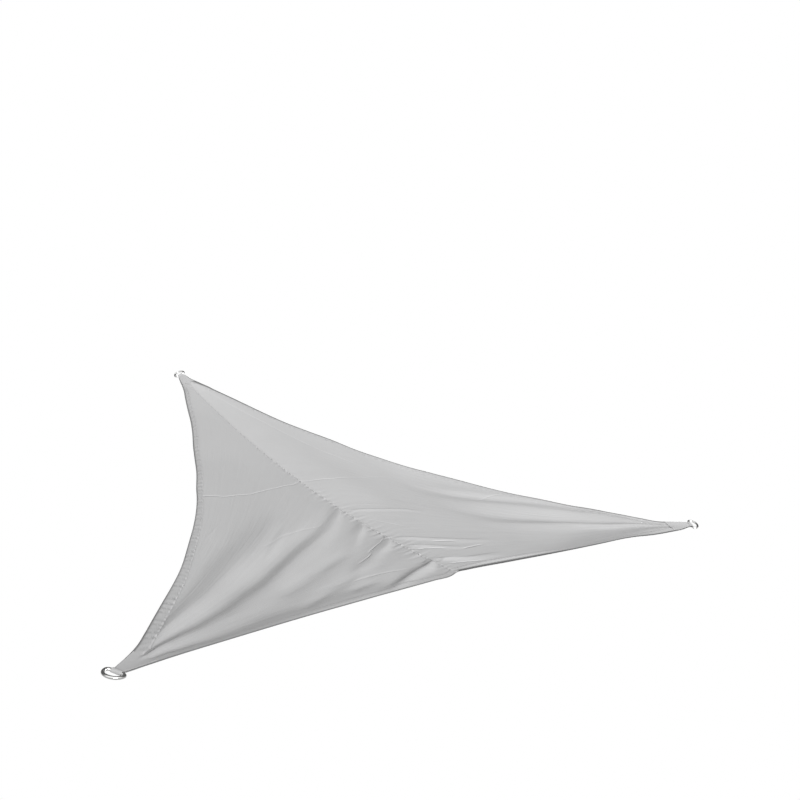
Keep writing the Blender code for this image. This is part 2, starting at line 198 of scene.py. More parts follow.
# The seam's sag as a share of a side, the sag's lean towards the foot, and how much of a
# panel's seam side the seam takes up: the rest is the blunt end at the high ring
SEAM_SAG = 0.0346
SEAM_LEAN = -0.11
SEAM_HEAD = 0.985
DOWN = np.array([0.0, 0.0, -1.0])


def unit(vectors):
    """Each vector at length one."""
    return vectors / np.linalg.norm(vectors, axis=-1, keepdims=True)


def smooth(value):
    """0 below zero, 1 above one, and between them the even rise 3x² - 2x³."""
    value = np.clip(value, 0.0, 1.0)
    return value * value * (3.0 - 2.0 * value)


far_x = math.sqrt(SIDE ** 2 - FAR_RISE ** 2)
high_x = (SIDE ** 2 / 2 - HIGH_RISE * FAR_RISE) / far_x
PLACES = {
    "near": np.zeros(3),
    "far": np.array([far_x, 0.0, FAR_RISE]),
    "high": np.array([high_x, math.sqrt(SIDE ** 2 - HIGH_RISE ** 2 - high_x ** 2), HIGH_RISE]),
}


def corner_axes(name, first, first_edge, second, second_edge):
    """The way the cloth pulls at a corner, the way across it, and up.

    The pull is the mean of the two hems' directions, each bent down by its sag.
    """
    legs = []
    for other, edge in ((first, first_edge), (second, second_edge)):
        sag = EDGES[edge][5]
        legs.append(unit(PLACES[other] - PLACES[name]) + DOWN * 4 * sag)
    out = -unit(unit(legs[0]) + unit(legs[1]))
    spread = legs[1] - legs[0]
    across = unit(spread - out * (spread @ out))
    up = np.cross(out, across)
    return out, across, up if up[2] > 0 else -up


AXES = {
    "near": corner_axes("near", "far", "low", "high", "left"),
    "far": corner_axes("far", "high", "top", "near", "low"),
    "high": corner_axes("high", "near", "left", "far", "top"),
}

# The D-rings' wire and bow are needed here, because the high ring's bearing is the origin
WIRE_RADIUS = 0.0045
RING_HALF_WIDTH = 0.0285
RING_CORNER = 0.009
RING_BOW = 0.027
CROWN_FACETS = 42
WIRE_FACETS = 10
bearing = (RING_CORNER + RING_BOW * math.cos(math.pi / CROWN_FACETS)
           - WIRE_RADIUS * math.cos(math.pi / WIRE_FACETS))
origin = PLACES["high"] + AXES["high"][0] * bearing
for place in PLACES.values():
    place -= origin


def cloth_end(corner, side):
    """A point on the cloth's blunt end at a ring: side -1 and 1 are its two hems."""
    out, across, _ = AXES[corner]
    return PLACES[corner] - out * END_SETBACK + across * side * END_WIDTH / 2


def twisted(points):
    """Points turned about each corner's pull, in full at its ring and less away from it."""
    for name, (out, across, up) in AXES.items():
        arm = points - PLACES[name]
        share = 1 - smooth(-(arm @ out) / TWIST_LENGTH[name])
        angle = (math.radians(END_TWIST[name]) * share)[..., None]
        aside, above = (arm @ across)[..., None], (arm @ up)[..., None]
        points = (points + (aside * (np.cos(angle) - 1) - above * np.sin(angle)) * across
                  + (above * (np.cos(angle) - 1) + aside * np.sin(angle)) * up)
    return points


def through(stations, values, v):
    """A smooth curve through values at stations: cubic pieces, level at both ends.

    Each piece has the slopes of the chords between its neighbours.
    """
    slopes = np.gradient(values, stations)
    slopes[0] = slopes[-1] = 0.0
    k = np.clip(np.searchsorted(stations, v) - 1, 0, len(stations) - 2)
    span = stations[k + 1] - stations[k]
    t = np.clip((v - stations[k]) / span, 0.0, 1.0)
    return (values[k] * (1 + 2 * t) * (1 - t) ** 2 + values[k + 1] * t * t * (3 - 2 * t)
            + span * (slopes[k] * t * (1 - t) ** 2 - slopes[k + 1] * t * t * (1 - t)))


def edge_curve(name, t):
    """An edge at shares t: the chord, bowed inwards by the cut and downwards by the sag."""
    start_corner, end_corner, opposite, hollow, lean, sag, pull = EDGES[name]
    start = cloth_end(start_corner, END_SIDES[name][0])
    end = cloth_end(end_corner, END_SIDES[name][1])
    chord = end - start
    inward = PLACES[opposite] - (start + end) / 2
    inward = unit(inward - chord * (inward @ chord) / (chord @ chord))
    t = np.asarray(t, float)[..., None]
    bow = 4 * t * (1 - t)
    cut = hollow * bow * (1 + lean * (2 * t - 1)) + pull * (1 - np.abs(2 * t - 1))
    stations, shift_in, shift_up = np.array(EDGE_WAVES[name]).T
    cut = cut + through(stations, shift_in, t) / 1000 / SIDE
    rise = through(stations, shift_up, t) / 1000
    return start + chord * t + inward * cut * SIDE + DOWN * (sag * bow * SIDE - rise)


SEAM_FOOT = edge_curve("low", 0.5)
SEAM_TOP = cloth_end("high", 0)


def seam_curve(t):
    """The centre seam at shares t, from its foot on the low edge to the high corner."""
    t = np.asarray(t, float)[..., None]
    sag = SEAM_SAG * 4 * t * (1 - t) * (1 + SEAM_LEAN * (2 * t - 1))
    return SEAM_FOOT + (SEAM_TOP - SEAM_FOOT) * t + DOWN * sag * SIDE


# ---------------------------------------------------------------- field panels
# Two halves of plain woven grey polyester, cut from the roll. Slack folds fan out of the near
# and far rings and gather at the seam, and creases from the packet cross them.
# Each panel's ring and outer hem, and the sides of the corners' middles that its ends lie on
PANELS = {
    "near": {"corner": "near", "low_side": -1, "outer": "left", "outer_side": 1,
             "head_side": -1},
    "far": {"corner": "far", "low_side": 1, "outer": "top", "outer_side": -1, "head_side": 1},
}
CLOTH = 0.0008
# Each fold is a row of stations on its crest or valley: share of the way from ring to seam,
# share of the way from low edge to outer hem, its two half widths (towards the low edge and
# towards the outer hem) and its height, the last three in millimetres.
NEAR_FOLDS = {
    "belly": [
        (0.250, 0.500, 200, 200, 0), (0.450, 0.460, 300, 350, 12), (0.650, 0.440, 400, 500, 28),
        (0.800, 0.440, 450, 650, 36), (0.900, 0.440, 500, 750, 28), (0.965, 0.440, 500, 800, 11),
        (0.999, 0.440, 500, 800, 0)],
    "long trough": [
        (0.035, 0.600, 8, 8, 0), (0.070, 0.580, 12, 10, -4), (0.100, 0.571, 18, 13, -7),
        (0.130, 0.534, 25, 22, -9), (0.160, 0.505, 30, 27, -10), (0.200, 0.466, 40, 37, -10),
        (0.250, 0.449, 46, 42, -11), (0.300, 0.429, 54, 52, -12), (0.370, 0.421, 60, 64, -14),
        (0.450, 0.394, 60, 70, -14), (0.530, 0.382, 54, 66, -13), (0.620, 0.370, 46, 58, -11),
        (0.700, 0.355, 44, 54, -9), (0.780, 0.342, 40, 50, -6), (0.850, 0.338, 34, 44, -4),
        (0.920, 0.340, 28, 36, -2), (0.970, 0.340, 20, 30, 0)],
    "main crest": [
        (0.070, 0.700, 10, 10, 0), (0.100, 0.665, 12, 16, 3), (0.130, 0.675, 22, 18, 6),
        (0.160, 0.642, 27, 36, 10), (0.200, 0.620, 36, 54, 13), (0.250, 0.585, 42, 78, 15),
        (0.300, 0.573, 52, 90, 16), (0.370, 0.566, 64, 100, 16), (0.450, 0.538, 80, 110, 16),
        (0.530, 0.500, 80, 100, 13), (0.600, 0.490, 70, 70, 9), (0.660, 0.485, 60, 60, 6),
        (0.740, 0.475, 50, 50, 0)],
    "upper trough": [
        (0.110, 0.760, 12, 14, 0), (0.130, 0.779, 16, 18, -1), (0.160, 0.804, 30, 28, -3),
        (0.200, 0.795, 42, 36, -4), (0.250, 0.790, 58, 48, -4), (0.300, 0.770, 66, 60, -5),
        (0.370, 0.735, 76, 76, -6), (0.450, 0.687, 76, 84, -6), (0.530, 0.645, 72, 96, -4),
        (0.620, 0.610, 70, 100, -2), (0.700, 0.580, 70, 100, 0)],
    "low crest": [
        (0.030, 0.470, 7, 7, 0), (0.052, 0.450, 9, 8, 3), (0.070, 0.427, 12, 11, 5),
        (0.100, 0.408, 16, 18, 5), (0.130, 0.363, 22, 26, 5), (0.160, 0.347, 28, 31, 5),
        (0.200, 0.307, 40, 38, 6), (0.250, 0.309, 48, 42, 6), (0.300, 0.293, 54, 50, 8),
        (0.370, 0.298, 60, 54, 9), (0.450, 0.296, 60, 50, 10), (0.530, 0.304, 60, 46, 11),
        (0.620, 0.305, 60, 42, 11), (0.700, 0.303, 56, 40, 10), (0.780, 0.302, 48, 40, 9),
        (0.840, 0.304, 38, 44, 9), (0.900, 0.310, 28, 46, 11), (0.940, 0.316, 21, 48, 13),
        (0.970, 0.322, 18, 44, 12), (0.990, 0.326, 14, 30, 6), (1.000, 0.328, 12, 20, 0)],
    "low trough": [
        (0.040, 0.330, 8, 8, 0), (0.070, 0.290, 12, 14, -3), (0.100, 0.270, 16, 18, -5),
        (0.130, 0.214, 22, 24, -6), (0.160, 0.195, 26, 30, -7), (0.200, 0.165, 34, 40, -8),
        (0.250, 0.150, 40, 50, -8), (0.300, 0.143, 46, 56, -8), (0.370, 0.145, 54, 60, -9),
        (0.450, 0.120, 54, 76, -9), (0.530, 0.112, 60, 90, -8), (0.620, 0.095, 60, 100, -8),
        (0.740, 0.078, 50, 90, -6), (0.860, 0.070, 40, 60, 0)],
    "middle groove": [
        (0.430, 0.225, 30, 36, 0), (0.500, 0.215, 34, 40, -6), (0.560, 0.213, 36, 42, -7),
        (0.620, 0.212, 36, 42, -6), (0.700, 0.216, 34, 40, -7), (0.760, 0.214, 30, 36, -4),
        (0.820, 0.210, 28, 30, 0)],
    "low groove": [
        (0.450, 0.070, 22, 28, 0), (0.500, 0.085, 26, 30, -4), (0.560, 0.105, 28, 32, -5),
        (0.620, 0.118, 30, 34, -4), (0.690, 0.126, 30, 34, -4), (0.760, 0.130, 26, 30, 0)],
    "hem groove": [
        (0.630, 0.068, 20, 24, 0), (0.680, 0.076, 24, 26, -5), (0.720, 0.076, 24, 26, -5),
        (0.790, 0.070, 20, 24, 0)],
    "pair crest": [
        (0.510, 0.418, 20, 20, 0), (0.570, 0.424, 28, 22, 4), (0.650, 0.424, 28, 22, 4),
        (0.720, 0.422, 24, 20, 0)],
    "seam ridge mid": [
        (0.800, 0.212, 30, 40, 0), (0.860, 0.222, 28, 44, 4), (0.900, 0.232, 22, 46, 9),
        (0.940, 0.240, 19, 46, 13), (0.970, 0.246, 17, 42, 12), (0.990, 0.249, 14, 30, 6),
        (1.000, 0.251, 12, 20, 0)],
    "seam ridge low": [
        (0.700, 0.125, 36, 36, 0), (0.760, 0.136, 38, 34, 6), (0.820, 0.144, 38, 36, 7),
        (0.860, 0.153, 32, 38, 8), (0.900, 0.158, 25, 40, 10), (0.940, 0.163, 20, 44, 12),
        (0.970, 0.168, 17, 40, 12), (0.990, 0.170, 14, 30, 6), (1.000, 0.171, 12, 20, 0)],
    "foot trough": [
        (0.660, 0.030, 30, 30, 0), (0.740, 0.040, 30, 40, -5), (0.800, 0.050, 30, 50, -8),
        (0.860, 0.064, 28, 60, -8), (0.920, 0.070, 26, 60, -7), (0.970, 0.075, 22, 50, -5),
        (0.990, 0.078, 16, 40, -3), (1.000, 0.080, 14, 30, 0)],
    "foot ridge": [
        (0.740, 0.012, 20, 20, 0), (0.800, 0.024, 24, 24, 7), (0.860, 0.036, 26, 24, 13),
        (0.920, 0.046, 26, 22, 16), (0.970, 0.053, 22, 18, 15), (0.990, 0.056, 16, 14, 8),
        (1.000, 0.057, 14, 12, 0)],
}
FAR_FOLDS = {
    "belly": [
        (0.400, 0.420, 150, 200, 0), (0.500, 0.410, 250, 350, 8), (0.600, 0.400, 380, 500, 22),
        (0.750, 0.390, 520, 620, 36), (0.870, 0.390, 600, 750, 38), (0.950, 0.390, 650, 800, 20),
        (0.999, 0.390, 650, 800, 0)],
    "ring crest": [
        (0.030, 0.320, 14, 14, 0), (0.055, 0.250, 24, 20, 4), (0.080, 0.220, 34, 28, 6),
        (0.120, 0.171, 34, 38, 6), (0.170, 0.150, 40, 54, 5), (0.230, 0.110, 50, 60, 3),
        (0.320, 0.080, 50, 60, 0)],
    "broad trough": [
        (0.070, 0.450, 14, 14, 0), (0.120, 0.385, 30, 24, -3), (0.170, 0.357, 50, 36, -6),
        (0.230, 0.326, 90, 44, -8), (0.300, 0.290, 120, 60, -9), (0.380, 0.200, 100, 110, -10),
        (0.460, 0.140, 90, 120, -9), (0.550, 0.090, 80, 120, -6), (0.660, 0.070, 60, 100, 0)],
    "low crest": [
        (0.045, 0.540, 10, 10, 0), (0.080, 0.515, 16, 12, 3), (0.120, 0.494, 18, 14, 3),
        (0.170, 0.480, 24, 22, 5), (0.230, 0.443, 32, 28, 7), (0.300, 0.430, 40, 36, 8),
        (0.380, 0.388, 60, 42, 10), (0.460, 0.362, 60, 42, 8), (0.550, 0.330, 70, 50, 5),
        (0.660, 0.320, 70, 50, 0)],
    "fan trough": [
        (0.080, 0.600, 12, 14, 0), (0.120, 0.570, 16, 20, -1), (0.170, 0.545, 22, 34, -3),
        (0.230, 0.520, 28, 56, -6), (0.300, 0.522, 38, 74, -9), (0.380, 0.500, 46, 66, -9),
        (0.460, 0.464, 46, 66, -7), (0.550, 0.435, 56, 66, -4), (0.660, 0.410, 60, 70, 0)],
    "fan ridge": [
        (0.090, 0.690, 16, 16, 0), (0.120, 0.722, 24, 22, 3), (0.170, 0.780, 48, 34, 5),
        (0.230, 0.738, 56, 46, 7), (0.300, 0.720, 74, 52, 9), (0.380, 0.677, 84, 46, 9),
        (0.460, 0.623, 84, 50, 9), (0.550, 0.568, 90, 70, 7), (0.680, 0.520, 90, 90, 0)],
    "hem trough": [
        (0.035, 0.780, 8, 8, 0), (0.060, 0.810, 14, 12, -4), (0.080, 0.830, 18, 14, -6),
        (0.120, 0.885, 20, 14, -4), (0.170, 0.930, 24, 16, -3), (0.240, 0.890, 34, 30, -3),
        (0.300, 0.850, 40, 34, -3), (0.380, 0.767, 40, 36, -4), (0.460, 0.714, 40, 36, -4),
        (0.550, 0.667, 44, 50, -3), (0.660, 0.620, 50, 60, 0)],
    "hem ridge": [
        (0.240, 0.940, 20, 20, 0), (0.300, 0.910, 26, 24, 2), (0.380, 0.841, 40, 36, 3),
        (0.460, 0.779, 40, 50, 4), (0.550, 0.730, 40, 60, 0)],
    "seam streak top": [
        (0.720, 0.350, 16, 12, 0), (0.800, 0.332, 16, 10, 2), (0.900, 0.312, 16, 10, 3),
        (0.960, 0.315, 14, 10, 3.5), (0.997, 0.320, 10, 8, 0)],
    "seam streak high": [
        (0.680, 0.150, 30, 20, 0), (0.760, 0.140, 26, 18, 3), (0.850, 0.145, 24, 14, 4),
        (0.900, 0.152, 20, 13, 5), (0.960, 0.170, 18, 12, 5), (0.997, 0.178, 14, 10, 0)],
    "seam streak mid": [
        (0.800, 0.095, 20, 14, 0), (0.880, 0.104, 18, 12, 3), (0.940, 0.122, 17, 11, 5),
        (0.970, 0.132, 15, 10, 5), (0.997, 0.140, 12, 10, 0)],
    "seam streak low": [
        (0.700, 0.060, 30, 20, 0), (0.760, 0.048, 28, 20, 1), (0.820, 0.042, 26, 18, 4),
        (0.900, 0.042, 24, 14, 8), (0.960, 0.056, 20, 12, 9), (0.997, 0.066, 14, 10, 0)],
}
FOLDS = {"near": NEAR_FOLDS, "far": FAR_FOLDS}
# Sharp creases, too narrow for the mesh: v, u and height in millimetres along each
NEAR_CREASES = {
    "packet crease": [(0.500, 0.985, 1.6), (0.616, 0.770, 1.2), (0.716, 0.633, 1.1),
                      (0.772, 0.583, 1.0), (0.848, 0.525, 1.0), (0.922, 0.485, 1.0),
                      (1.000, 0.460, 0.6)],
    "cross crease": [(0.520, 0.500, 0.0), (0.584, 0.450, 0.3), (0.668, 0.415, 0.4),
                     (0.736, 0.378, 0.4), (0.820, 0.336, 0.3), (0.900, 0.325, 0.0)],
    "near pinch": [(0.770, 0.155, 0.0), (0.800, 0.157, 1.0), (0.840, 0.160, 1.3),
                   (0.870, 0.168, 0.0)],
    "seam pinch": [(0.850, 0.172, 0.0), (0.870, 0.175, 1.2), (0.930, 0.182, 1.0),
                   (0.990, 0.189, 0.3)],
    "low pinch": [(0.690, 0.109, 0.0), (0.720, 0.105, 0.6), (0.860, 0.082, 0.6),
                  (0.920, 0.072, 0.0)],
    "hem pinch": [(0.405, 0.850, 0.0), (0.418, 0.840, -0.4), (0.466, 0.800, -0.3),
                  (0.500, 0.775, 0.0)],
}
FAR_CREASES = {
    "packet crease": [(0.560, 0.790, 0.0), (0.650, 0.690, 0.2), (0.740, 0.605, 0.4),
                      (0.832, 0.527, 0.5), (0.892, 0.490, 0.7), (0.942, 0.473, 0.8),
                      (1.000, 0.462, 0.8)],
    "high pair": [(0.330, 0.905, 0.0), (0.342, 0.893, 0.5), (0.428, 0.715, 0.6),
                  (0.560, 0.560, 0.0)],
    "hem line": [(0.660, 0.740, 0.0), (0.712, 0.775, 0.5), (0.790, 0.830, 0.6),
                 (0.884, 0.893, 0.6), (0.970, 0.970, 0.0)],
    "crisp dash": [(0.765, 0.111, 0.0), (0.782, 0.107, 1.5), (0.846, 0.092, 1.4),
                   (0.862, 0.088, 0.0)],
    "second dash": [(0.830, 0.134, 0.0), (0.850, 0.135, 1.5), (0.890, 0.138, 1.4),
                    (0.905, 0.139, 0.0)],
    "third dash": [(0.900, 0.219, 0.0), (0.918, 0.228, 0.4), (0.954, 0.258, 0.4),
                   (0.972, 0.272, 0.0)],
    "seam dash": [(0.900, 0.100, 0.0), (0.920, 0.104, 1.2), (0.980, 0.118, 1.4),
                  (0.998, 0.122, 0.4)],
    "foot dash": [(0.860, 0.020, 0.0), (0.890, 0.022, 1.2), (0.960, 0.034, 1.2),
                  (0.985, 0.040, 0.0)],
}
CREASES = {"near": NEAR_CREASES, "far": FAR_CREASES}
# A crease's reach to both sides and past its ends in metres, and the steps along its line
CREASE_REACH = 0.030
CREASE_PAST = 0.020
CREASE_STEPS = 160
# The folds ease out over these shares of the width, at the low edge and at the outer hem
LOW_EASE = 0.012
OUTER_EASE = 0.050
SLOPE_STEP = 0.003
# Puckers are three waves: how fine, how high, and the slow drift that makes them uneven, as
# its size, its radians to the metre and its start. They lean by the slant for a metre across
PUCKER_WAVES = ((1.0, 1.0, 1.3, 17, 0), (1 / 1.43, 0.6, 2.1, 11, 1), (1.61, 0.5, 1.7, 7, 0))
PUCKER_SLANT = 0.35
# The gathers beside the seam are puckers of this pitch, reach and height, in metres. As shares
# up the seam, they are full from GATHER_FROM on and have died away at GATHER_TO
SEAM_LENGTH = 2.40
GATHER_WAVE = 0.036
GATHER_REACH = 0.070
GATHER_RISE = {"near": 0.0052, "far": 0.0026}
GATHER_FROM = 0.06
GATHER_TO = 0.86
GATHER_FADE = 0.30


def panel_width(name, v):
    """Metres straight across a panel, from low edge to outer hem, at share v."""
    low = edge_curve("low", v / 2 if name == "near" else 1 - v / 2)
    return np.linalg.norm(edge_curve(PANELS[name]["outer"], v) - low, axis=-1)


def pucker(along, across, wave, slant=PUCKER_SLANT):
    """Uneven slanted bumps, 0 to 1: three close waves along the sewing, leaning across it.

    Each is high * sin(fine * turn + drift * sin(along * rate + start)). Their sum is divided
    by twice the sum of their heights, and a half is added.
    """
    turn = 2 * math.pi * (along + slant * across) / wave
    waves = sum(high * np.sin(fine * turn + drift * np.sin(along * rate + start))
                for fine, high, drift, rate, start in PUCKER_WAVES)
    return 0.5 + waves / (2 * sum(high for _, high, *_ in PUCKER_WAVES))


def seam_gathers(name, u, v):
    """Small gathers beside the seam, dying away from it: GATHER_RISE * exp(-(off / reach)²)."""
    off = (1 - v) * SIDE / 2 * (1 + u)
    fade = (np.exp(-(off / GATHER_REACH) ** 2) * smooth((GATHER_TO - u) / GATHER_FADE)
            * smooth(u / GATHER_FROM))
    return GATHER_RISE[name] * fade * pucker(u * SEAM_LENGTH, -off, GATHER_WAVE)


def fold_height(name, u, v):
    """The folds' sum, each height * exp(-(distance / half width)²) across it, with gathers."""
    width = panel_width(name, v)
    height = np.zeros_like(u)
    for rows in FOLDS[name].values():
        stations, place, low_side, high_side, rise = np.array(rows, float).T
        away = (u - through(stations, place, v)) * width
        half = np.where(away < 0, through(stations, low_side, v), through(stations, high_side, v))
        height += through(stations, rise, v) / 1000 * np.exp(-(away * 1000 / half) ** 2)
    height += seam_gathers(name, u, v)
    return height * smooth(u / LOW_EASE) * smooth((1 - u) / OUTER_EASE)


def smooth_panel(name, u, v):
    """A panel without its folds, the surface spanned by its four sides.

    It is the sum of the two blends between facing sides, less the blend of the corners.
    u runs from the low edge (0) to the outer hem (1), v from the ring (0) to the seam (1).
    """
    panel = PANELS[name]
    low = edge_curve("low", v / 2 if name == "near" else 1 - v / 2)
    outer = edge_curve(panel["outer"], v)
    ring_low = cloth_end(panel["corner"], panel["low_side"])
    ring_outer = cloth_end(panel["corner"], panel["outer_side"])
    head = cloth_end("high", panel["head_side"])
    across_head = np.clip((u - SEAM_HEAD) / (1 - SEAM_HEAD), 0, 1)[..., None]
    seam = seam_curve(np.clip(u / SEAM_HEAD, 0, 1)) + (head - SEAM_TOP) * across_head
    u, v = u[..., None], v[..., None]
    sides = ((1 - u) * low + u * outer + v * seam
             + (1 - v) * (ring_low + (ring_outer - ring_low) * u))
    corners = ((1 - u) * (1 - v) * ring_low + (1 - u) * v * SEAM_FOOT
               + u * (1 - v) * ring_outer + u * v * head)
    return twisted(sides - corners)


def upward_normals(name, u, v):
    """Upward unit normals of the smooth panel: the cross product of its two slopes."""
    u0, u1 = np.clip(u - SLOPE_STEP, 0, 1), np.clip(u + SLOPE_STEP, 0, 1)
    v0, v1 = np.clip(v - SLOPE_STEP, 0, 1), np.clip(v + SLOPE_STEP, 0, 1)
    along_u = smooth_panel(name, u1, v) - smooth_panel(name, u0, v)
    along_v = smooth_panel(name, u, v1) - smooth_panel(name, u, v0)
    normal = unit(np.cross(along_u, along_v))
    return np.where(normal[..., 2:] < 0, -normal, normal)


def panel_points(name, u, v):
    """The folded panel's middle surface, and the upward directions of its thickness."""
    normal = upward_normals(name, u, v)
    return smooth_panel(name, u, v) + normal * fold_height(name, u, v)[..., None], normal


def crease_marks(name, points, normal):
    """Signed millimetres to the nearest sharp crease, and its height in millimetres there.

    The height dies away over the outer half of CREASE_REACH, so that two creases never mix.
    """
    shape = points.shape[:-1]
    points, normal = points.reshape(-1, 3), normal.reshape(-1, 3)
    distance, height = np.full(len(points), 1.0), np.zeros(len(points))
    for rows in CREASES[name].values():
        v_stations, u_stations, rises = np.array(rows, float).T
        v = np.linspace(v_stations[0], v_stations[-1], CREASE_STEPS)
        line = panel_points(name, np.interp(v, v_stations, u_stations), v)[0]
        along = unit(np.gradient(line, axis=0))
        arm = points[:, None] - line
        nearest = (arm ** 2).sum(-1).argmin(1)
        arm = arm[np.arange(len(points)), nearest]
        side = unit(np.cross(normal, along[nearest]))
        away = (arm * side).sum(-1)
        beside = np.abs((arm * along[nearest]).sum(-1)) < CREASE_PAST
        closer = beside & (np.abs(away) < np.abs(distance))
        rise = np.interp(v[nearest], v_stations, rises)
        fade = 1 - smooth(2 * np.abs(away) / CREASE_REACH - 1)
        distance[closer], height[closer] = away[closer], (rise * fade)[closer]
    return (distance * 1000).reshape(shape), height.reshape(shape)


def grid_faces(rows, columns, first=0, turned=False):
    """Four-sided faces of a grid of points, numbered row by row from first."""
    index = first + np.arange(rows * columns).reshape(rows, columns)
    a, b, c, d = index[:-1, :-1], index[1:, :-1], index[1:, 1:], index[:-1, 1:]
    faces = np.stack([a, d, c, b] if turned else [a, b, c, d], -1)
    return faces.reshape(-1, 4)


def new_piece(name, points, faces, material, sharp_degrees=None):
    """A mesh object at the origin whose closed skin faces outwards, riding on the part."""
    thirds = faces[:, :3]
    a, b, c = (points[thirds[:, k]] - points[0] for k in range(3))
    if np.einsum("ij,ij->i", a, np.cross(b, c)).sum() < 0:
        faces = faces[:, ::-1]
    mesh = bpy.data.meshes.new(name)
    mesh.from_pydata(points.tolist(), [], faces.tolist())
    mesh.materials.append(material)
    mesh.shade_smooth()
    if sharp_degrees is not None:
        mesh.set_sharp_from_angle(angle=math.radians(sharp_degrees))
    piece = bpy.data.objects.new(name, mesh)
    bpy.context.collection.objects.link(piece)
    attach(piece, "root")
    return piece


def mark(piece, name, values):
    """A number for every vertex of a piece, which its material reads by name."""
    marks = piece.data.attributes.new(name, "FLOAT", "POINT")
    marks.data.foreach_set("value", np.asarray(values, np.float32).ravel())


def slab(name, lower, upper, material):
    """A closed sheet between two equal grids of points, with walls round its four sides."""
    rows, columns = lower.shape[:2]
    low = np.arange(rows * columns).reshape(rows, columns)
    rim = np.concatenate([low[:-1, 0], low[-1, :-1], low[:0:-1, -1], low[0, :0:-1]])
    onward = np.roll(rim, -1)
    wall = np.stack([rim, rim + low.size, onward + low.size, onward], 1)
    faces = np.concatenate([grid_faces(rows, columns, low.size),
                            grid_faces(rows, columns, 0, turned=True), wall])
    points = np.concatenate([lower.reshape(-1, 3), upper.reshape(-1, 3)])
    return new_piece(name, points, faces, material, sharp_degrees=50)


# Threads to the metre, and the scale at which a wave texture has one band to each unit
THREADS = 1100.0
ONE_BAND = 0.314
# What stains, the painted highlight on creases and the painted shade on turned edges make of the
# colour, as shares of it
STAIN = 0.035
PAINTED_CREASE_HIGHLIGHT = 1.14
PAINTED_EDGE_SHADE = 0.22
# A crease's half width in millimetres, and the depth of pulls, creases and weave in metres
CREASE_HALF = 4.2
PULL_DEPTH = 0.0022
CREASE_DEPTH = 0.0021
WEAVE_DEPTH = 0.00015


def times(tree, first, second):
    """An output times another output, or times a number."""
    made = node(tree, "Math", [(0, first)], operation="MULTIPLY")
    if isinstance(second, float):
        made.inputs[1].default_value = second
    else:
        tree.links.new(second, made.inputs[1])
    return made.outputs["Value"]


def cloth_material(name, colour):
    """Woven polyester: a plain weave's crossing threads, fine pulls, sharp creases and stains.

    The weave is the product of two sine waves at right angles, 0.9 mm apart, on the object's
    own plan. The pulls are noise drawn out along the mark named fan. A crease is the mark
    crease_rise * exp(-(crease_place / CREASE_HALF)²), and its colour is painted lighter there,
    a painted highlight along the crease. The mark rim paints shade on a turned edge and between
    puckers.
    """
    def shade(share):
        return (*(share * part for part in colour), 1.0)

    material, tree, shader = new_finish(name, Roughness=0.85, Specular_IOR_Level=0.10,
                                        Sheen_Weight=0.05)
    place = node(tree, "TexCoord").outputs["Object"]
    threads = node(tree, "Mapping", [("Vector", place)], Scale=(THREADS, THREADS, 0.0))
    warp, weft = (node(tree, "TexWave", [("Vector", threads.outputs["Vector"])],
                       bands_direction=way, Scale=ONE_BAND, Distortion=0.4, Detail=1.0)
                  for way in "XY")
    weave = times(tree, warp.outputs["Fac"], weft.outputs["Fac"])
    fan, crease_place, crease_rise, rim = (
        node(tree, "Attribute", attribute_name=mark_name).outputs[socket]
        for mark_name, socket in (("fan", "Vector"), ("crease_place", "Fac"),
                                  ("crease_rise", "Fac"), ("rim", "Fac")))
    pulls = node(tree, "TexNoise", [("Vector", fan)], Scale=1.0, Detail=3.0, Roughness=0.62,
                 Distortion=0.25)
    power = times(tree, times(tree, crease_place, crease_place), -1 / CREASE_HALF ** 2)
    bell = node(tree, "Math", [(0, power)], operation="EXPONENT")
    crease = times(tree, bell.outputs["Value"], crease_rise)
    clouds = node(tree, "TexNoise", [("Vector", place)], Scale=1.7, Detail=3.0, Roughness=0.5)
    tint = ramp(tree, clouds.outputs["Fac"], (0.30, shade(1 - STAIN)), (0.70, shade(1 + STAIN)))
    # Painted highlight: the colour is lighter along a crease's crest
    crease_highlighted = node(tree, "MixRGB", [("Fac", crease), ("Color1", tint)], Color2=shade(PAINTED_CREASE_HIGHLIGHT))
    # Painted shade: the mark rim darkens a turned edge and the pinches between puckers
    edge_shaded = node(tree, "MixRGB", [("Fac", rim), ("Color1", crease_highlighted.outputs["Color"])],
                 Color2=shade(PAINTED_EDGE_SHADE))
    tree.links.new(edge_shaded.outputs["Color"], shader.inputs["Base Color"])
    bump = node(tree, "Bump", [("Height", pulls.outputs["Fac"])], Strength=1.0,
                Distance=PULL_DEPTH)
    bump = node(tree, "Bump", [("Height", crease), ("Normal", bump.outputs["Normal"])],
                Strength=1.0, Distance=CREASE_DEPTH)
    bump = node(tree, "Bump", [("Height", weave), ("Normal", bump.outputs["Normal"])],
                Strength=0.35, Distance=WEAVE_DEPTH)
    tree.links.new(bump.outputs["Normal"], shader.inputs["Normal"])
    return material


# The two halves run the other way off the roll. The far one's colour is painted lighter, painted
# light for the more light it catches
cloths = {"near": cloth_material("grey polyester near", (0.478, 0.478, 0.480)),
          "far": cloth_material("grey polyester far", (0.512, 0.512, 0.514))}

# How many pulls go to a panel's width and to its length. They fan out of the ring and drift
# towards the low edge, as the folds do: by PULL_DRIFT * exp(-v / PULL_DRIFT_FADE) of the width
PULLS_ACROSS = 44.0
PULLS_ALONG = 4.5
PULL_DRIFT = 0.30
PULL_DRIFT_FADE = 0.25
# Columns lie closer in the low part of a panel, rows towards the ring and the seam
LOW_COLUMNS = 225
HIGH_COLUMNS = 130
LOW_SHARE = 0.46
ROWS = 128
ROW_CROWDING = 0.07
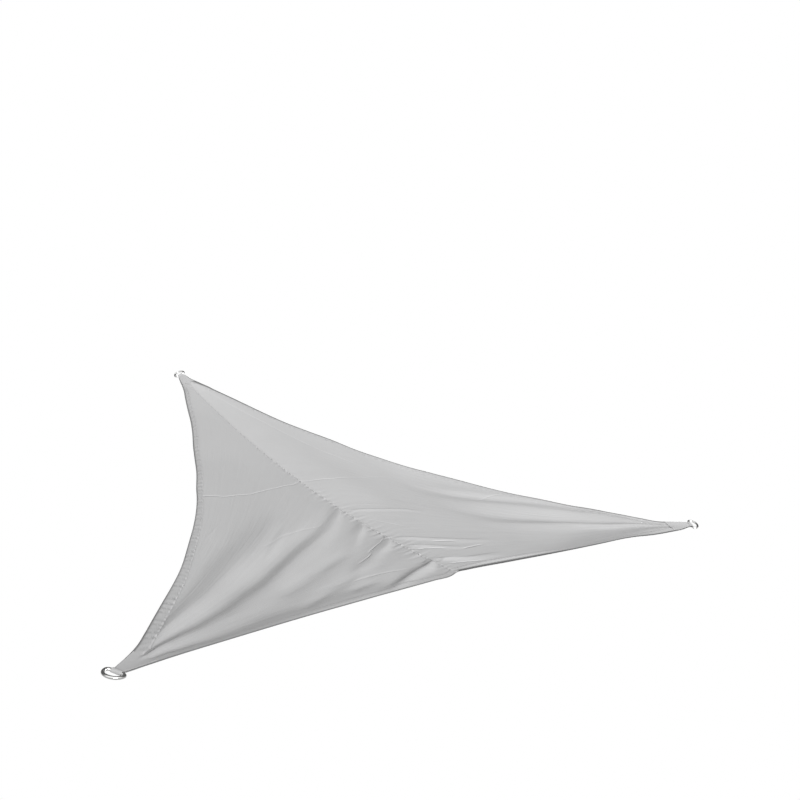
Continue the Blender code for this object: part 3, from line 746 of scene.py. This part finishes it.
# The field runs this far in under its hems, at most a share of its width. The way straight
# across a panel meets the low edge squarely and the outer hem at 30 degrees, so its run there
# is twice as long
HEM_TUCK = 0.017
TUCK_MOST = 0.20
ACROSS_RUN = {"low": 1.0, "outer": 2.0}

columns = np.concatenate([np.linspace(0, LOW_SHARE, LOW_COLUMNS, endpoint=False),
                          np.linspace(LOW_SHARE, 1, HIGH_COLUMNS)])
even = np.linspace(0, 1, ROWS)
rows = even - ROW_CROWDING * np.sin(2 * math.pi * even)

for panel_name in PANELS:
    grid_u, grid_v = np.meshgrid(columns, rows, indexing="ij")
    width = panel_width(panel_name, grid_v)
    tuck = np.minimum(HEM_TUCK, TUCK_MOST * width) / width
    inner_u = tuck + grid_u * (1 - (ACROSS_RUN["low"] + ACROSS_RUN["outer"]) * tuck)
    middle, upwards = panel_points(panel_name, inner_u, grid_v)
    crease_place, crease_rise = crease_marks(panel_name, middle, upwards)
    line = inner_u - PULL_DRIFT * np.exp(-grid_v / PULL_DRIFT_FADE)
    fan = np.stack([line * PULLS_ACROSS, grid_v * PULLS_ALONG, np.zeros_like(line)], -1)
    panel = slab("field_" + panel_name, middle - upwards * CLOTH / 2,
                 middle + upwards * CLOTH / 2, cloths[panel_name])
    mark(panel, "crease_place", [crease_place, crease_place])
    mark(panel, "crease_rise", [crease_rise, crease_rise])
    fans = panel.data.attributes.new("fan", "FLOAT_VECTOR", "POINT")
    fans.data.foreach_set("vector", np.array([fan, fan], np.float32).ravel())
    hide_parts("panel_" + panel_name)

# ---------------------------------------------------------------- hems
# Every side is turned under twice and stitched 27 mm in. The fold is the sail's edge, and the
# tight stitching draws the hem into small slanted puckers.
HEM = 0.032
# Where a panel is narrow, its hem takes up this share of its width
HEM_MOST = 0.40
HEM_STEP = 0.0025
# The share of a panel's width over which the way out of its edge is measured
EDGE_STEP = 0.004
# Section round the hem: distance in from the edge as a share of the hem (or, below zero,
# millimetres beyond the edge) and height off the cloth's middle in millimetres
HEM_SECTION = (
    (1.06, 0.10), (1.00, 0.45), (0.95, 0.85), (0.85, 1.05), (0.70, 1.10), (0.55, 1.10),
    (0.40, 1.10), (0.28, 1.10), (0.18, 1.10), (0.10, 1.10), (0.03, 1.00),
    (-0.45, 0.70), (-0.85, 0.30), (-0.95, -0.10), (-0.80, -0.55),
    (-0.40, -0.95), (0.04, -1.20), (0.14, -1.25), (0.40, -1.25), (0.80, -1.25), (0.98, -1.20),
    (1.03, -1.00), (1.05, -0.30))


def bar_faces(steps, around):
    """Faces of a closed bar of equal sections, with its two ends capped by strips."""
    index = np.arange(steps * around).reshape(steps, around)
    index = np.concatenate([index, index[:, :1]], 1)
    a, b, c, d = index[:-1, :-1], index[1:, :-1], index[1:, 1:], index[:-1, 1:]
    faces = [np.stack([a, b, c, d], -1).reshape(-1, 4)]
    half = around // 2
    for ring, flip in ((index[0, :-1], False), (index[-1, :-1], True)):
        pairs = np.stack([ring[:half - 1], ring[1:half], ring[::-1][1:half],
                          ring[::-1][:half - 1]], 1)
        faces.append(pairs[:, ::-1] if flip else pairs)
    return np.concatenate(faces)


def loft(name, sections, material):
    """A closed bar through equal sections of points."""
    return new_piece(name, sections.reshape(-1, 3), bar_faces(*sections.shape[:2]), material)


def sew(name, row, length):
    """A row of stitches, each a small bar whose ends dive into the cloth.

    row(share, lift) gives points on the cloth at shares of the row, lifted by millimetres.
    """
    count = int(length / STITCH_PITCH)
    steps, thick, dive = np.array(STITCH).T
    share = (np.arange(count)[:, None] + steps) / count
    share = STITCHED[0] + (STITCHED[1] - STITCHED[0]) * share
    centre = row(share, STITCH_LIFT)
    up = unit(row(share, STITCH_LIFT + 1) - centre)
    side = unit(np.cross(centre[:, -1:] - centre[:, :1], up))
    turn = np.arange(THREAD_SIDES)[:, None] * 2 * math.pi / THREAD_SIDES
    around = side[:, :, None] * np.cos(turn) + up[:, :, None] * np.sin(turn)
    skin = (centre - up * dive[:, None])[:, :, None] + around * (THREAD * thick)[:, None, None]
    first = np.arange(count) * len(steps) * THREAD_SIDES
    faces = bar_faces(len(steps), THREAD_SIDES) + first[:, None, None]
    stitches = new_piece(name, skin.reshape(-1, 3), faces.reshape(-1, 4), thread)


def hem_points(panel_name, side, along_share, inset, lift):
    """Points of a hem: inset metres in from the edge, lifted off the cloth's middle."""
    width = panel_width(panel_name, along_share)
    inward = np.clip(inset, 0, None) * ACROSS_RUN[side] / width
    u = inward if side == "low" else 1 - inward
    points, normal = panel_points(panel_name, u, along_share)
    edge_u = np.zeros_like(u) if side == "low" else np.ones_like(u)
    near_u = np.full_like(u, EDGE_STEP if side == "low" else 1 - EDGE_STEP)
    outward = unit(smooth_panel(panel_name, edge_u, along_share)
                   - smooth_panel(panel_name, near_u, along_share))
    return points + normal * lift[..., None] - outward * np.clip(inset, None, 0)[..., None]


# Each hem's panel, its side of that panel, and its length
HEMS = {
    "hem_near_low": ("near", "low", 1.49), "hem_near_left": ("near", "outer", 3.00),
    "hem_far_low": ("far", "low", 1.51), "hem_far_top": ("far", "outer", 3.00),
}
# How far apart each hem's puckers are and how high, both in metres. They rise over the third
# of the hem next to its edge, and start over a short run beyond the corner patches
PUCKERS = {"hem_near_low": (0.018, 0.0012), "hem_near_left": (0.034, 0.0060),
           "hem_far_low": (0.018, 0.0012), "hem_far_top": (0.034, 0.0014)}
HEM_SLANT = {"low": PUCKER_SLANT, "outer": -2.8}
PATCH_LENGTH = 0.110
CALM_RUN = 0.12
# How dark the painted shade on each hem's turned edge is, and how wide it is at the ring and at
# the seam. The share of that width next to the edge takes the full painted shade
PAINTED_RIM_SHADES = {"hem_near_low": (0.80, 0.005, 0.005), "hem_near_left": (0.72, 0.007, 0.009),
        "hem_far_low": (1.00, 0.006, 0.016), "hem_far_top": (0.90, 0.007, 0.028)}
RIM_SHADE_CORE = 0.35
# How dark the painted shade between puckers is, for each metre of their height
PAINTED_PINCH_SHADE = 80
# The stitches lie on a hem at this share of its width, at this height in millimetres
HEM_ROW = 0.85
ROW_HEIGHT = 1.05
# The thread's radius and sides, and a stitch's pitch and stations: share of the pitch, share
# of the radius, dive in metres. A row leaves a little of both ends of its side unsewn
THREAD = 0.00035
THREAD_SIDES = 6
STITCH_PITCH = 0.0055
STITCH = ((0.12, 0.5, 0.0006), (0.22, 1.0, 0.0), (0.78, 1.0, 0.0), (0.88, 0.5, 0.0006))
STITCH_LIFT = 0.1
STITCHED = (0.02, 0.985)
# The thread's twist shows as slanting bands, 1.4 mm apart along each axis and 0.8 mm apart
# straight across them. Between them the thread is deeper, with painted shade in the grooves
TWIST_PITCH = 0.0014
TWIST_DEPTH = 0.0001
thread, tree, shader = new_finish("grey thread", Roughness=0.6)
twist = node(tree, "TexWave", [("Vector", node(tree, "TexCoord").outputs["Object"])],
             bands_direction="DIAGONAL", Scale=2 * ONE_BAND / TWIST_PITCH, Distortion=0.5)
# Painted shade: the thread is darker in the grooves of its twist
twist_painted_shade = ramp(tree, twist.outputs["Fac"], (0.0, (0.35, 0.35, 0.35, 1.0)),
                  (1.0, (0.48, 0.48, 0.48, 1.0)))
twist_bump = node(tree, "Bump", [("Height", twist.outputs["Fac"])], Strength=0.5,
                  Distance=TWIST_DEPTH)
tree.links.new(twist_painted_shade, shader.inputs["Base Color"])
tree.links.new(twist_bump.outputs["Normal"], shader.inputs["Normal"])


def hem_skin(hem_name, share, depth, lift):
    """Points of a hem with its puckers, and how much painted shade each gets.

    depth is a share of the hem's width or, below zero, millimetres beyond the edge; lift is
    millimetres off the cloth's middle. The edge and the pinched places between puckers get
    painted shade, the latter by (1 - pucker)³, except in the outer sixths of the hem, where that
    shade fades out.
    """
    panel_name, side, length = HEMS[hem_name]
    wide = np.minimum(HEM, HEM_MOST * panel_width(panel_name, share) / ACROSS_RUN[side])
    place_in = np.where(depth > 0, depth * wide, depth / 1000)
    inside = np.clip(depth, 0, 1)
    wave, rise = PUCKERS[hem_name]
    calm = smooth((share * length - PATCH_LENGTH) / CALM_RUN)
    if side == "outer":
        calm = calm * smooth(((1 - share) * length - PATCH_LENGTH) / CALM_RUN)
    ripple = (pucker(share * length, place_in, wave, HEM_SLANT[side]) * smooth(3 * inside)
              * calm)
    points = hem_points(panel_name, side, share, place_in, lift / 1000 + ripple * rise)
    dark, reach_ring, reach_seam = PAINTED_RIM_SHADES[hem_name]
    reach = reach_ring + (reach_seam - reach_ring) * share
    # Painted shade on the turned edge, full next to it and fading inwards
    shade = dark * (1 - smooth((place_in / reach - RIM_SHADE_CORE) / (1 - RIM_SHADE_CORE)))
    # Painted shade in the pinches between puckers
    pinched = calm * smooth(6 * inside) * smooth(6 * (1 - inside)) * (1 - ripple) ** 3
    return points, np.maximum(shade, PAINTED_PINCH_SHADE * rise * pinched)


for hem_name, (panel_name, side, length) in HEMS.items():
    section = np.array(HEM_SECTION)
    share, depth = np.meshgrid(np.linspace(0, 1, int(length / HEM_STEP) + 1), section[:, 0],
                               indexing="ij")
    points, rim = hem_skin(hem_name, share, depth, section[:, 1])
    hem = loft(hem_name, points, cloths[panel_name])
    # The mark rim carries the painted shade of the turned edge and of the pinches
    mark(hem, "rim", rim)
    sew("stitches_" + hem_name, lambda share, lift: hem_skin(
        hem_name, share, np.full_like(share, HEM_ROW), ROW_HEIGHT + lift)[0], length)

# ---------------------------------------------------------------- centre seam
# The two panels are lapped by about 20 mm along the seam, each edge tucked into the other,
# and sewn through all four layers with two rows of stitches.
SEAM_HALF = 0.011
SEAM_ENDS = (0.0008, 0.9985)
SEAM_ROWS = {"near": -0.80, "far": 0.80}
# Its fine puckers: pitch and height in metres
SEAM_WAVE = 0.024
SEAM_RISE = 0.0018
# It narrows by a share of its width over the last of its length, under the high patch
SEAM_NECK = 0.45
NECK_FROM = 0.985
# From this share up the seam on, the way from ring to seam counts as a whole side
HEAD_FROM = 0.98
# Section round the seam: share of the half width, and height in millimetres
SEAM_SECTION = (
    (-1.10, 0.15), (-0.96, 0.75), (-0.80, 1.05), (-0.45, 1.00), (0.00, 1.15), (0.45, 1.00),
    (0.80, 1.05), (0.96, 0.75), (1.10, 0.15), (1.10, -0.15), (0.96, -0.75), (0.80, -1.05),
    (0.45, -1.00), (0.00, -1.15), (-0.45, -1.00), (-0.80, -1.05), (-0.96, -0.75),
    (-1.10, -0.15))


def seam_points(t, aside, lift):
    """Points of the seam: t up the seam, aside metres off it (far panel above 0), lifted."""
    u = t * SEAM_HEAD
    points = np.zeros(t.shape + (3,))
    for name, mine in (("near", aside <= 0), ("far", aside > 0)):
        run = np.where(u < HEAD_FROM, SIDE / 2 * (1 + u), SIDE)
        v = 1 - np.abs(aside) / run
        own, normal = panel_points(name, u[mine], v[mine])
        points[mine] = own + normal * lift[mine][..., None]
    return points


def seam_skin(share, aside, lift):
    """Points of the seam with its puckers: aside is a share of its half width, lift in mm."""
    aside = aside * SEAM_HALF * (1 - SEAM_NECK * smooth((share - NECK_FROM) / (1 - NECK_FROM)))
    ripple = pucker(share * SEAM_LENGTH, aside, SEAM_WAVE) * SEAM_RISE
    return seam_points(share, aside, lift / 1000 + ripple)


section = np.array(SEAM_SECTION)
share, aside = np.meshgrid(np.linspace(*SEAM_ENDS, int(SEAM_LENGTH / HEM_STEP) + 1),
                           section[:, 0], indexing="ij")
# The seam is sewn from the far panel's cloth, whose colour is painted lighter
seam = loft("centre_seam", seam_skin(share, aside, section[:, 1]), cloths["far"])
for row_name, row_aside in SEAM_ROWS.items():
    sew("stitches_seam_" + row_name, lambda share, lift: seam_skin(
        share, np.full_like(share, row_aside), np.full_like(share, ROW_HEIGHT + lift)),
        SEAM_LENGTH)

# ---------------------------------------------------------------- corner patches
# At each corner a strip of the same cloth runs over the sail, round the bar of the ring and
# back underneath, sewn down through every layer.
PATCH_CLOTH = 0.0012
# The share of the corner's width that the strip leaves bare at each hem
PATCH_INSET = 0.05
# From the middle of the cloth, and from the centre of the bar, to the strip's inner side
PATCH_SPACE = 0.0016
BAR_SPACE = WIRE_RADIUS + 0.0004
PATCH_ACROSS = 28
PATCH_BACK = 30
NECK_STEPS = 6
WRAP_STEPS = 20


def patch_surface(corner, across, back):
    """Panel points and normals under a patch: across 0 to 1, back 0 at the ring to 1."""
    if corner in PANELS:
        return panel_points(corner, across,
                            back * PATCH_LENGTH / (SIDE / 2 * (1 + across)))
    seam_length = np.linalg.norm(SEAM_TOP - SEAM_FOOT)
    points = np.zeros(across.shape + (3,))
    normals = np.zeros_like(points)
    for name, first in (("near", True), ("far", False)):
        mine = across <= 0.5 if first else across >= 0.5
        to_seam = 2 * across[mine] if first else 2 * (1 - across[mine])
        u = 1 - to_seam * (1 - SEAM_HEAD * (1 - back[mine] * PATCH_LENGTH / seam_length))
        v = 1 - (1 - to_seam) * back[mine] * PATCH_LENGTH / SIDE
        points[mine], own = panel_points(name, u, v)
        normals[mine] += own
    return points, unit(normals)


for corner, (out, across_way, up) in AXES.items():
    across = np.linspace(PATCH_INSET, 1 - PATCH_INSET, PATCH_ACROSS + 1)
    back = np.linspace(1, 0, PATCH_BACK + 1)
    grid_across, grid_back = np.meshgrid(across, back, indexing="ij")
    leg, leg_up = patch_surface(corner, grid_across, grid_back)
    sideways = (across[:, None, None] - 0.5) * END_WIDTH * across_way
    forward = END_SETBACK * (1 - np.arange(1, NECK_STEPS) / NECK_STEPS)
    neck = PLACES[corner] + sideways - forward[None, :, None] * out
    neck_up = np.broadcast_to(up, neck.shape)
    neck_space = BAR_SPACE + (PATCH_SPACE - BAR_SPACE) * smooth(forward / END_SETBACK)
    turn = np.linspace(math.pi / 2, -math.pi / 2, WRAP_STEPS + 1)[None, :, None]
    wrap_out = np.broadcast_to(np.cos(turn) * out + np.sin(turn) * up,
                               (len(across), WRAP_STEPS + 1, 3))
    wrap = np.broadcast_to(PLACES[corner] + sideways, wrap_out.shape)
    loop = np.concatenate([neck, wrap, neck[:, ::-1]], 1)
    loop_away = np.concatenate([neck_up, wrap_out, -neck_up[:, ::-1]], 1)
    loop_space = np.concatenate([neck_space, np.full(WRAP_STEPS + 1, BAR_SPACE),
                                 neck_space[::-1]])[None, :, None]
    skins = []
    for thickness in (0, PATCH_CLOTH):
        lift = leg_up * (PATCH_SPACE + thickness)
        around = twisted(loop + loop_away * (loop_space + thickness))
        skins.append(np.concatenate([leg + lift, around, (leg - lift)[:, ::-1]], 1))
    patch = slab("strip_" + corner, skins[0], skins[1], cloths.get(corner, cloths["near"]))
    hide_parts("patch_" + corner)

# ---------------------------------------------------------------- D-rings
# Polished stainless steel wire, 9 mm round, bent to a D and welded on the bar. The bar lies
# in the fold of the corner patch.
WIRE_SIDES = 32
BOW_STEPS = 60
BEND_STEPS = 14
BAR_STEPS = 8


def ring_line():
    """The wire's centre line and outer normals as (outwards, across): bar, bends and bow."""
    straight = RING_HALF_WIDTH - RING_CORNER
    bend = np.linspace(0, math.pi / 2, BEND_STEPS + 1)
    bow = np.linspace(math.pi / 2, -math.pi / 2, BOW_STEPS + 1)[1:-1]
    bar = np.linspace(-straight, straight, BAR_STEPS + 1)[1:-1]
    bends = np.stack([RING_CORNER * (1 - np.cos(bend)),
                      straight + RING_CORNER * np.sin(bend)], 1)
    bend_normals = np.stack([-np.cos(bend), np.sin(bend)], 1)
    bows = np.stack([RING_CORNER + RING_BOW * np.cos(bow), RING_HALF_WIDTH * np.sin(bow)], 1)
    bow_normals = unit(np.stack([np.cos(bow) / RING_BOW, np.sin(bow) / RING_HALF_WIDTH], 1))
    mirror = np.array([1, -1])
    bars = np.stack([np.zeros_like(bar), bar], 1)
    bar_normals = np.stack([-np.ones_like(bar), np.zeros_like(bar)], 1)
    return (np.concatenate([bends, bows, bends[::-1] * mirror, bars]),
            np.concatenate([bend_normals, bow_normals, bend_normals[::-1] * mirror,
                            bar_normals]))


# Fine scuffs from hooks make the polish uneven
steel, tree, shader = new_finish("polished stainless wire", Metallic=1.0,
                                 Base_Color=(0.78, 0.78, 0.77, 1.0))
scuffs = node(tree, "TexNoise", [("Vector", node(tree, "TexCoord").outputs["Object"])],
              Scale=420.0, Detail=4.0, Roughness=0.6)
wear = node(tree, "MapRange", [("Value", scuffs.outputs["Fac"])], To_Min=0.10, To_Max=0.26)
tree.links.new(wear.outputs["Result"], shader.inputs["Roughness"])

for corner, (out, across_way, up) in AXES.items():
    line, outward = ring_line()
    plane = np.stack([out, across_way])
    centre = PLACES[corner] + line @ plane
    angle = np.arange(WIRE_SIDES) * 2 * math.pi / WIRE_SIDES
    around = ((outward @ plane)[:, None] * np.cos(angle)[None, :, None]
              + up * np.sin(angle)[None, :, None])
    skin = twisted(centre[:, None] + around * WIRE_RADIUS)
    steps = len(skin)
    index = np.pad(np.arange(steps * WIRE_SIDES).reshape(steps, WIRE_SIDES),
                   ((0, 1), (0, 1)), mode="wrap")
    faces = np.stack([index[:-1, :-1], index[1:, :-1], index[1:, 1:], index[:-1, 1:]], -1)
    ring = new_piece("d_ring_" + corner, skin.reshape(-1, 3), faces.reshape(-1, 4), steel)
    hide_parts("ring_" + corner)
